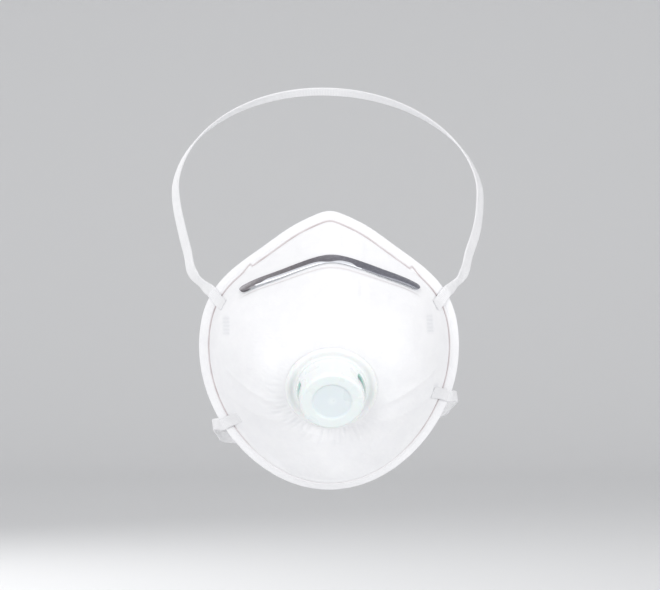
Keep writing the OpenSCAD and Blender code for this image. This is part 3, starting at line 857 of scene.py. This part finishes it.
# Heights of the welds, and the ends of the hinge lines, as in the CAD model
UPPER_Z, LOWER_RIGHT_Z, LOWER_LEFT_Z = 25.5, -24.5, -37.9
UPPER_HINGE = np.array([58.2439, 0.815, 27.0])
RIGHT_HINGE, LEFT_HINGE = np.array([61.2544, 2.9995, -24.5]), np.array([-55.2327, 2.6693, -37.9])


def upper_end():
    h, out = weld_points(UPPER_Z, -3, 0.915, LIFT, 0.955)
    n = unit(hem_normal(h) + 0.5 * outward(h))
    edge = hem_edge(h)
    out.append((edge + LIFT * hem_normal(h) + 0.5 * outward(h), n))
    out.append((UPPER_HINGE, unit(np.array([0.75, -0.62, 0.2]))))
    return out


def lower_end(z):
    h, out = weld_points(z, 0, 0.80, LIFT)
    corner = unit(hem_normal(h) + outward(h))
    edge = hem_edge(h)
    out.append((edge + 1.15 * LIFT * corner, corner))
    out.append((edge + np.array([1.75, 2.1, 0]), RIGHT))
    return out


def joined(right, left, loop):
    """Path and faces: the +X end, the loop, and the -X end backwards."""
    centres = [c for c, _ in right] + list(loop[0]) + [mirrored(c) for c, _ in left[::-1]]
    faces = [f for _, f in right] + list(loop[1]) + [mirrored(f) for _, f in left[::-1]]
    return np.array(centres), np.array(faces)


upper_loop = loop_path(UPPER_HINGE[0], 78.0, 188.0, 7.0, 30.0, UPPER_HINGE * (0, 1, 1), 0.0, 0.06,
                       twist=38.0)
# The worn loop bulges over the cheeks, and sits a little towards +X behind them
bulge = 2.0 * bell(upper_loop[0][:, 1] - 15, 11) * np.sign(upper_loop[0][:, 0])
upper_loop[0][:, 0] += bulge + 1.6 * smooth(upper_loop[0][:, 1], 12, 60)
upper = strap("strap_upper", *joined(upper_end(), upper_end(), upper_loop),
              ["upper_strap", "upper_strap_left_end", "upper_strap_right_end"],
              "upper_strap", -0.5, 11.0)

lower_mid = (RIGHT_HINGE + LEFT_HINGE) / 2
lower_mid[1] = RIGHT_HINGE[1]
hinge_x, _, hinge_z = RIGHT_HINGE - LEFT_HINGE
lower_loop = loop_path(np.hypot(hinge_x, hinge_z) / 2, 58.0, 150.0, 1.0, -7.0, lower_mid,
                       math.degrees(math.atan2(hinge_z, hinge_x)), 0.05)
lower = strap("strap_lower",
              *joined(lower_end(LOWER_RIGHT_Z), lower_end(LOWER_LEFT_Z), lower_loop),
              ["lower_strap", "lower_strap_left_end", "lower_strap_right_end"],
              "lower_strap", 1.0, 10.0)


# ---------- Materials ----------
class Shader:
    """Small helper round a node tree with one Principled shader."""

    def __init__(self, name, colour, roughness, **sockets):
        self.material = bpy.data.materials.new(name)
        self.material.use_nodes = True
        self.tree = self.material.node_tree
        self.shader = self.tree.nodes["Principled BSDF"]
        self.shader.inputs["Base Color"].default_value = (*colour, 1)
        self.shader.inputs["Roughness"].default_value = roughness
        for socket, value in sockets.items():
            self.shader.inputs[socket.replace("_", " ")].default_value = value
        self.start = colour
        self.colour = self.normal = None
        self.object_coords = self.add("ShaderNodeTexCoord").outputs["Object"]

    def add(self, kind, **settings):
        node = self.tree.nodes.new(kind)
        for key, value in settings.items():
            setattr(node, key, value)
        return node

    def link(self, out, into):
        self.tree.links.new(out, into)

    def mapped(self, scale, rotation):
        node = self.add("ShaderNodeMapping")
        self.link(self.object_coords, node.inputs["Vector"])
        node.inputs["Scale"].default_value = scale
        node.inputs["Rotation"].default_value = rotation
        return node.outputs["Vector"]

    def noise(self, scale, detail=3.0, rough=0.5, vector=None):
        node = self.add("ShaderNodeTexNoise")
        self.link(vector or self.object_coords, node.inputs["Vector"])
        node.inputs["Scale"].default_value = scale
        node.inputs["Detail"].default_value = detail
        node.inputs["Roughness"].default_value = rough
        return node.outputs["Fac"]

    def cells(self, scale, feature):
        node = self.add("ShaderNodeTexVoronoi", feature=feature)
        self.link(self.object_coords, node.inputs["Vector"])
        node.inputs["Scale"].default_value = scale
        return node.outputs["Distance"]

    def value(self, name):
        return self.add("ShaderNodeAttribute", attribute_name=name).outputs["Fac"]

    def math(self, operation, a, b):
        node = self.add("ShaderNodeMath", operation=operation)
        self.link(a, node.inputs[0])
        self.link(b, node.inputs[1])
        return node.outputs[0]

    def ranged(self, source, low, high, to_low=0.0, to_high=1.0):
        node = self.add("ShaderNodeMapRange")
        self.link(source, node.inputs["Value"])
        limits = {"From Min": low, "From Max": high, "To Min": to_low, "To Max": to_high}
        for key, v in limits.items():
            node.inputs[key].default_value = v
        return node.outputs[0]

    def tint(self, factor, colour):
        """Mixes the colour so far towards another one."""
        node = self.add("ShaderNodeMix", data_type="RGBA")
        self.link(factor, node.inputs["Factor"])
        if self.colour is None:
            node.inputs["A"].default_value = (*self.start, 1)
        else:
            self.link(self.colour, node.inputs["A"])
        node.inputs["B"].default_value = (*colour, 1)
        self.colour = node.outputs["Result"]

    def bump(self, height, distance_mm):
        node = self.add("ShaderNodeBump")
        node.inputs["Strength"].default_value = 1.0
        node.inputs["Distance"].default_value = distance_mm * MM
        self.link(height, node.inputs["Height"])
        if self.normal is not None:
            self.link(self.normal, node.inputs["Normal"])
        self.normal = node.outputs["Normal"]

    def rough(self, source, low, high):
        self.link(self.ranged(source, 0.3, 0.7, low, high), self.shader.inputs["Roughness"])

    def finish(self, obj, slot):
        if self.colour is not None:
            self.link(self.colour, self.shader.inputs["Base Color"])
        if self.normal is not None:
            self.link(self.normal, self.shader.inputs["Normal"])
        obj.data.materials.clear()
        obj.data.materials.append(self.material)


def web(name, colour, fibre, bond, shade):
    """Bonded web: crossed fibres, small bond points and a faint cloudiness."""
    m = Shader(name, colour, 0.82, Sheen_Weight=0.15, Sheen_Roughness=0.5)
    cloud = m.noise(160, 4, 0.6)
    m.tint(m.ranged(cloud, 0.35, 0.75, 0.0, 0.5), shade)
    for k, turn in enumerate((0.35, 1.35, 2.3)):
        streaks = m.noise(1.0, 2.0, 0.5, m.mapped((500, 900, 2600), (0.3 * k, turn, 0.2 * k)))
        m.bump(streaks, fibre)
    dots = m.cells(780, "SMOOTH_F1")
    m.bump(dots, bond)
    m.rough(cloud, 0.76, 0.9)
    return m


m = web("cover_web", (0.90, 0.90, 0.91), 0.05, 0.05, (0.84, 0.84, 0.865))
# Seam tint: darker weld line and painted shade in its groove, and a painted shadow line under the
# nose clip.
m.tint(m.ranged(m.value("tint"), 0.0, 1.0, 0.0, 0.95), (0.50, 0.42, 0.425))
# Painted shade in the crinkle troughs, and the grey weld marks, darker in their rib grooves as
# painted shade.
m.tint(m.ranged(m.value("crease_shade_and_weld_mark"), 0.0, 1.0, 0.0, 0.55), (0.68, 0.69, 0.72))
m.finish(cover, "cover_web")
m = web("lining_web", (0.91, 0.91, 0.91), 0.03, 0.03, (0.86, 0.86, 0.87))
m.tint(m.ranged(m.value("tint"), 0.0, 1.0, 0.0, 0.6), (0.70, 0.68, 0.68))
m.finish(lining, "lining_web")
m = web("filter_web", (0.93, 0.93, 0.93), 0.08, 0.02, (0.88, 0.88, 0.88))
m.finish(filter_ply, "filter_web")
m = web("shell_web", (0.88, 0.88, 0.88), 0.06, 0.08, (0.82, 0.82, 0.82))
m.finish(shell_ply, "shell_web")

m = Shader("clip_metal", (0.185, 0.170, 0.180), 0.42, Metallic=0.75)
# Painted reflection: the +X half of the dark top is tinted bluish and the -X half stays brownish,
# following how the light falls on each side.
side = m.add("ShaderNodeSeparateXYZ")
m.link(m.object_coords, side.inputs[0])
m.tint(m.ranged(side.outputs["X"], -0.02, 0.02), (0.165, 0.168, 0.200))
brush = m.noise(1.0, 3, 0.6, m.mapped((420, 900, 5200), (0, 0.35, 0)))
m.tint(m.ranged(brush, 0.45, 0.8, 0.0, 0.6), (0.44, 0.44, 0.48))
# Bright lower band: the lighter bare metal of the polished edge, with painted highlight in how far
# up it reaches along the strip.
m.tint(m.value("polished_edge_and_highlight"), (0.86, 0.88, 0.92))
m.rough(brush, 0.32, 0.5)
m.bump(brush, 0.02)
m.finish(clip, "clip_metal")

m = Shader("clip_tape", (0.85, 0.85, 0.83), 0.55)
m.tint(m.ranged(m.noise(300), 0.4, 0.6, 0, 0.4), (0.78, 0.78, 0.75))
m.bump(m.noise(900), 0.02)
m.finish(tape, "clip_tape")

m = Shader("foam", (0.72, 0.73, 0.75), 0.95)
pores = m.cells(1900, "F1")
# Painted shade: each cell is darker grey towards its middle, in the pores.
m.tint(m.ranged(pores, 0.55, 0.15, 0.0, 0.65), (0.48, 0.49, 0.52))
m.tint(m.ranged(m.noise(220, 3), 0.45, 0.7, 0.0, 0.4), (0.80, 0.81, 0.82))
m.bump(pores, 0.22)
m.bump(m.cells(700, "SMOOTH_F1"), 0.15)
m.finish(pad, "foam")


def plastic(name, colour, shade, roughness=0.3):
    m = Shader(name, colour, roughness, Subsurface_Weight=0.12, Subsurface_Scale=0.002, IOR=1.5)
    flow = m.noise(90, 3)
    m.tint(m.ranged(flow, 0.35, 0.7, 0.0, 0.5), shade)
    m.rough(flow, roughness - 0.04, roughness + 0.08)
    m.bump(m.noise(2600, 2), 0.006)
    return m


plastic("valve_plastic", (0.895, 0.90, 0.90), (0.865, 0.875, 0.875)).finish(seat, "valve_plastic")
plastic("ring_plastic", (0.895, 0.90, 0.90), (0.865, 0.875, 0.875)).finish(ring, "valve_plastic")


def valve_radius(obj):
    co = np.empty(len(obj.data.vertices) * 3, np.float32)
    obj.data.vertices.foreach_get("co", co)
    q = co.reshape(-1, 3) / MM - VALVE_FOOT
    return np.hypot(dot(q, RIGHT), dot(q, VALVE_UP)), dot(q, VALVE_AXIS)


radius, height = valve_radius(cap)
set_values(cap, "radius", radius)
set_values(cap, "height", height)
outer_wall = np.interp(height, [1.25, 3.2, 6.5, CAP_H - 2.2], [CAP_R, 15.95, 15.5, SHOULDER_R])
set_values(cap, "inside", (height < CAP_H - 0.9) & (radius < outer_wall - 0.6))
m = plastic("cap_plastic", (0.90, 0.92, 0.917), (0.88, 0.905, 0.90), 0.28)
r, hh = m.value("radius"), m.value("height")
high = m.ranged(hh, CAP_H - 1.8, CAP_H - 1.0)
front_face = m.ranged(r, 15.0, 13.4)
window = m.ranged(r, WINDOW_R - 0.1, WINDOW_R - 0.5)
centre = m.ranged(r, 2.6, 0.8, 0, 0.6)
m.tint(m.math("MULTIPLY", high, front_face), (0.80, 0.855, 0.85))
m.tint(m.math("MULTIPLY", high, window), (0.745, 0.805, 0.825))
m.tint(m.math("MULTIPLY", high, centre), (0.82, 0.88, 0.87))
# Painted glow: the inside faces of the cover, seen through the two vents, are tinted mint and emit
# a little light, standing in for light let through the thin wall.
inside = m.value("inside")
m.tint(inside, (0.42, 0.74, 0.68))
m.shader.inputs["Emission Color"].default_value = (0.42, 0.78, 0.71, 1)
m.link(m.ranged(inside, 0, 1, 0, 0.12), m.shader.inputs["Emission Strength"])
m.finish(cap, "cap_plastic")

m = Shader("diaphragm_rubber", (0.55, 0.78, 0.73), 0.45,
           Subsurface_Weight=0.2, Subsurface_Scale=0.001)
m.tint(m.ranged(m.noise(200), 0.4, 0.7, 0.0, 0.4), (0.60, 0.80, 0.76))
m.bump(m.noise(1500), 0.01)
m.finish(flap, "diaphragm_rubber")


def elastic(name):
    m = Shader(name, (0.90, 0.90, 0.91), 0.78, Sheen_Weight=0.25, Sheen_Roughness=0.4)
    pair = m.add("ShaderNodeCombineXYZ")
    m.link(m.value("along"), pair.inputs["X"])
    m.link(m.value("across"), pair.inputs["Y"])
    courses = m.add("ShaderNodeTexWave", wave_type="BANDS", bands_direction="X")
    m.link(pair.outputs[0], courses.inputs["Vector"])
    courses.inputs["Scale"].default_value = 0.36
    courses.inputs["Distortion"].default_value = 1.2
    wales = m.add("ShaderNodeTexWave", wave_type="BANDS", bands_direction="Y")
    m.link(pair.outputs[0], wales.inputs["Vector"])
    wales.inputs["Scale"].default_value = 0.72
    m.bump(courses.outputs["Fac"], 0.07)
    m.bump(wales.outputs["Fac"], 0.07)
    m.bump(m.noise(2500), 0.03)
    # Painted shade: darker grey in the grooves between the knit courses.
    m.tint(m.ranged(courses.outputs["Fac"], 0.5, 0.0, 0.0, 0.5), (0.80, 0.80, 0.825))
    m.tint(m.ranged(m.noise(150), 0.4, 0.7, 0.0, 0.3), (0.84, 0.84, 0.86))
    return m


elastic("elastic_upper").finish(upper, "elastic")
elastic("elastic_lower").finish(lower, "elastic")


# ---------- Floor, backdrop and light ----------
def backdrop():
    """Pale floor that curves up behind the object, in one sheet."""
    floor_z, back_y, radius, top = -0.215, 2.3, 0.8, 3.4
    line = [(-8.0, floor_z), (back_y, floor_z)]
    line += [(back_y + radius * math.sin(t), floor_z + radius * (1 - math.cos(t)))
             for t in np.linspace(0.05, math.pi / 2, 24)]
    line.append((back_y + radius, top))
    points = [(x, y, z) for y, z in line for x in (-7.0, 7.0)]
    faces = [[2 * i, 2 * i + 1, 2 * i + 3, 2 * i + 2] for i in range(len(line) - 1)]
    mesh = bpy.data.meshes.new("floor")
    mesh.from_pydata(points, [], faces)
    mesh.polygons.foreach_set("use_smooth", [True] * len(mesh.polygons))
    obj = bpy.data.objects.new("floor", mesh)
    bpy.context.scene.collection.objects.link(obj)
    m = Shader("floor", (0.74, 0.745, 0.75), 0.9)
    m.tint(m.ranged(m.noise(3), 0.3, 0.7, 0.0, 0.15), (0.72, 0.725, 0.73))
    m.link(m.colour, m.shader.inputs["Base Color"])
    obj.data.materials.append(m.material)


def area_light(name, place, size, power, target=(0, -0.02, 0)):
    data = bpy.data.lights.new(name, "AREA")
    data.shape, data.size, data.energy = "DISK", size, power
    obj = bpy.data.objects.new(name, data)
    bpy.context.scene.collection.objects.link(obj)
    obj.location = place
    obj.rotation_euler = (Vector(target) - Vector(place)).to_track_quat("-Z", "Y").to_euler()


backdrop()
area_light("key", (-1.0, -1.6, 0.6), 1.2, 12.4)
area_light("fill", (1.35, -1.3, 0.2), 1.3, 11.2)
area_light("top", (0.1, 0.5, 1.6), 1.0, 2.8)
area_light("rear", (-0.6, 1.0, 0.5), 0.8, 6)

world = bpy.data.worlds.new("world")
bpy.context.scene.world = world
world.use_nodes = True
world.node_tree.nodes["Background"].inputs["Color"].default_value = (0.985, 0.985, 1.0, 1)
world.node_tree.nodes["Background"].inputs["Strength"].default_value = 0.72
bpy.context.scene.view_settings.view_transform = "Standard"
